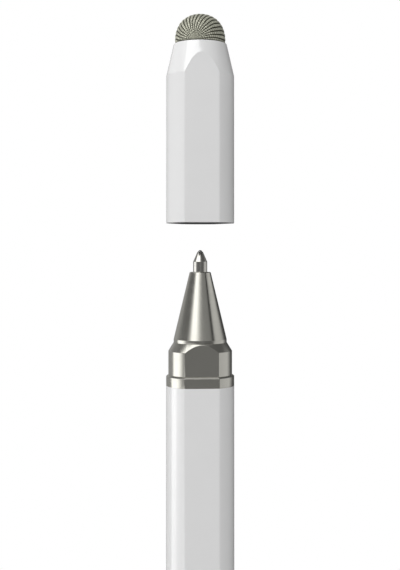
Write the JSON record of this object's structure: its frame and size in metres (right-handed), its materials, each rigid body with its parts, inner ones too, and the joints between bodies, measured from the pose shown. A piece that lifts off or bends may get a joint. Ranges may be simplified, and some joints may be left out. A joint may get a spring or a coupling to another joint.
{
  "type": "stylus pen",
  "caption": "Slim ballpoint pen with long flats on a round barrel, a metal nose cone and a pull-off cap whose end is a fibre-mesh dome for touch screens.",
  "frame": {"origin": "on the pen's axis, in the middle of the tail face that it stands on", "axes": "+Z along the pen's axis from the tail to the writing point and on to the lifted cap; -Y out of the front flat"},
  "size_m": [0.01, 0.0093, 0.1595],
  "materials": {
    "white_lacquer": "gloss",
    "polished_nickel": "polished",
    "point_alloy": "polished",
    "ball_carbide": "polished",
    "spring_steel": "drawn wire",
    "refill_plastic": "translucent",
    "ink": "wet",
    "follower_grease": "clear grease",
    "inner_plastic": "moulded",
    "brass": "turned",
    "soft_core": "foamed silicone",
    "fibre_mesh": "knitted conductive fibre"
  },
  "bodies": {
    "barrel": {"barrel": "white_lacquer", "tail_plug": "polished_nickel", "spring_guide": "inner_plastic", "refill_spring": "spring_steel", "cap_seat": "polished_nickel", "collar_ring": "polished_nickel"},
    "refill": {"refill_point": "point_alloy", "refill_tube": "refill_plastic", "refill_tail_stop": "refill_plastic", "ink_column": "ink", "ink_follower": "follower_grease"},
    "nose": {"nose_cone": "polished_nickel"},
    "ball": {"point_ball": "ball_carbide"},
    "cap": {"cap_shell": "white_lacquer", "inner_cap": "inner_plastic", "tip_holder": "inner_plastic", "tip_stem": "brass", "clamp_ring": "brass", "tip_core": "soft_core", "tip_mesh": "fibre_mesh"}
  },
  "joints": [
    {"name": "refill_advance", "type": "slide", "parent": "barrel", "child": "refill", "axis": [0, 0, 1], "range_m": [0, 0.0075], "deforming": ["refill_spring"]},
    {"name": "nose_unscrew", "type": "hinge", "parent": "refill", "child": "nose", "pos_m": [0, 0, 0.11128], "axis": [0, 0, 1], "range_deg": [0, 3600]},
    {"name": "ball_roll", "type": "hinge", "parent": "refill", "child": "ball", "pos_m": [0, 0, 0.12448], "axis": [1, 0, 0], "continuous": true},
    {"name": "cap_pull", "type": "slide", "parent": "refill", "child": "cap", "axis": [0, 0, 1], "range_m": [-0.02214, 0]}
  ],
  "couplings": [
    {"joint": "nose_unscrew", "follows": "refill_advance", "rad_per_m": 8377.6}
  ]
}
